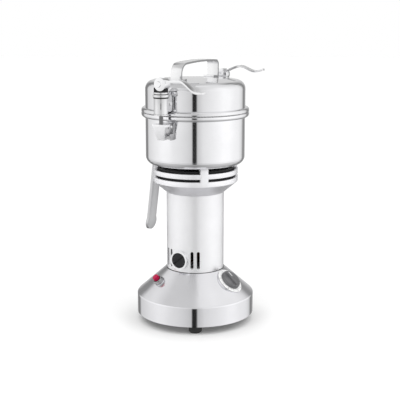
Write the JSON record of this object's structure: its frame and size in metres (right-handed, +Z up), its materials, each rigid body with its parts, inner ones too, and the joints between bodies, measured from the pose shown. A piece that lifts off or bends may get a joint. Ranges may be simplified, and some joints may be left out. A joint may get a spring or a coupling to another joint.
{
  "type": "electric coffee grinder",
  "caption": "Upright electric coffee grinder: round conical base with timer knob and reset button, slim motor column, steel bowl and cam-latched lid.",
  "frame": {"origin": "on the floor under the motor's axis", "axes": "+Z up along the motor's axis, -Y towards the front as pictured, +X to the right"},
  "size_m": [0.1813, 0.2003, 0.3669],
  "materials": {
    "polished_steel": "polished stainless steel sheet with mirror-like reflections",
    "satin_steel": "satin stainless steel",
    "cast_collar": "turned and polished aluminium casting",
    "bright_fittings": "bright plated steel",
    "blade_steel": "ground blade steel",
    "black_plastic": "black moulded plastic",
    "rubber": "matte black rubber",
    "knob_plastic": "dark grey moulded plastic",
    "dial_white": "white printed dial",
    "button_red": "crimson moulded plastic",
    "copper": "enamelled copper",
    "lamination": "stacked steel laminations",
    "carbon": "pressed carbon",
    "lead_insulation": "insulated copper leads"
  },
  "bodies": {
    "base": {"base_shell": "polished_steel", "bottom_cover": "satin_steel", "rubber_feet": "rubber", "foot_screws": "bright_fittings", "cord_grommet": "rubber", "timer_body": "black_plastic", "timer_nut": "bright_fittings", "dial_plate": "dial_white", "breaker_body": "black_plastic", "breaker_nut": "bright_fittings", "internal_leads": "lead_insulation", "motor_housing": "satin_steel", "column_screws": "bright_fittings", "lower_bracket": "cast_collar", "ball_bearings": "bright_fittings", "stator_core": "lamination", "field_coils": "copper", "brush_holders": "black_plastic", "carbon_brushes": "carbon", "brush_springs": "bright_fittings", "brush_caps": "black_plastic", "vent_collar": "cast_collar", "drip_shield": "black_plastic", "side_handle": "satin_steel", "side_handle_screws": "bright_fittings", "bowl": "polished_steel", "bowl_screws": "bright_fittings", "shaft_seal": "rubber", "bowl_catches": "satin_steel", "catch_rivets": "bright_fittings"},
    "rotor": {"motor_shaft": "bright_fittings", "bearing_inner_races": "bright_fittings", "armature_core": "lamination", "armature_windings": "copper", "commutator": "copper", "cooling_fan": "black_plastic", "lower_blade": "blade_steel", "blade_spacer": "bright_fittings", "upper_blade": "blade_steel", "blade_nut": "bright_fittings"},
    "lid": {"lid": "polished_steel", "lid_gasket": "rubber", "lid_handle": "polished_steel", "latch_lugs": "satin_steel", "pivot_pins": "bright_fittings"},
    "front_latch": {"front_barrel": "bright_fittings", "front_cam_pad": "black_plastic"},
    "rear_latch": {"rear_barrel": "bright_fittings", "rear_cam_pad": "black_plastic"},
    "front_rod": {"front_rod": "satin_steel", "front_claw": "satin_steel", "front_cam_pin": "bright_fittings"},
    "rear_rod": {"rear_rod": "satin_steel", "rear_claw": "satin_steel", "rear_cam_pin": "bright_fittings"},
    "front_lever": {"front_lever": "bright_fittings"},
    "rear_lever": {"rear_lever": "bright_fittings"},
    "timer_knob": {"timer_knob": "knob_plastic", "timer_spindle": "bright_fittings"},
    "reset_button": {"reset_button": "button_red"}
  },
  "joints": [
    {"name": "lid_lift", "type": "slide", "parent": "base", "child": "lid", "axis": [0, 0, 1], "range_m": [0, 0.09]},
    {"name": "rotor_spin", "type": "hinge", "parent": "base", "child": "rotor", "pos_m": [0, 0, 0.24], "axis": [0, 0, 1], "continuous": true},
    {"name": "timer_turn", "type": "hinge", "parent": "base", "child": "timer_knob", "pos_m": [0.0478, -0.03104, 0.0615], "axis": [-0.5577, 0.3621, -0.7469], "range_deg": [0, 300]},
    {"name": "reset_push", "type": "slide", "parent": "base", "child": "reset_button", "axis": [0.5758, 0.3325, -0.7469], "range_m": [0, 0.0025], "stiffness_N_per_m": 400, "springref_m": -0.001},
    {"name": "front_latch_swing", "type": "hinge", "parent": "lid", "child": "front_latch", "pos_m": [-0.04043, -0.06729, 0.315], "axis": [-0.8572, 0.515, 0], "range_deg": [-6, 20]},
    {"name": "front_rod_slide", "type": "slide", "parent": "front_latch", "child": "front_rod", "axis": [0, 0, 1], "range_m": [-0.002, 0]},
    {"name": "front_lever_turn", "type": "hinge", "parent": "front_rod", "child": "front_lever", "pos_m": [-0.04455, -0.07415, 0.3405], "axis": [-0.515, -0.8572, 0], "range_deg": [0, 90]},
    {"name": "rear_latch_swing", "type": "hinge", "parent": "lid", "child": "rear_latch", "pos_m": [0.03441, 0.07056, 0.315], "axis": [0.8988, -0.4384, 0], "range_deg": [-6, 20]},
    {"name": "rear_rod_slide", "type": "slide", "parent": "rear_latch", "child": "rear_rod", "axis": [0, 0, 1], "range_m": [-0.00164, 0]},
    {"name": "rear_lever_turn", "type": "hinge", "parent": "rear_rod", "child": "rear_lever", "pos_m": [0.03792, 0.07775, 0.3405], "axis": [-0.4384, -0.8988, 0], "range_deg": [0, 74]}
  ],
  "couplings": [
    {"joint": "front_lever_turn", "follows": "front_rod_slide", "rad_per_m": -785.39},
    {"joint": "rear_lever_turn", "follows": "rear_rod_slide", "rad_per_m": -785.39}
  ]
}
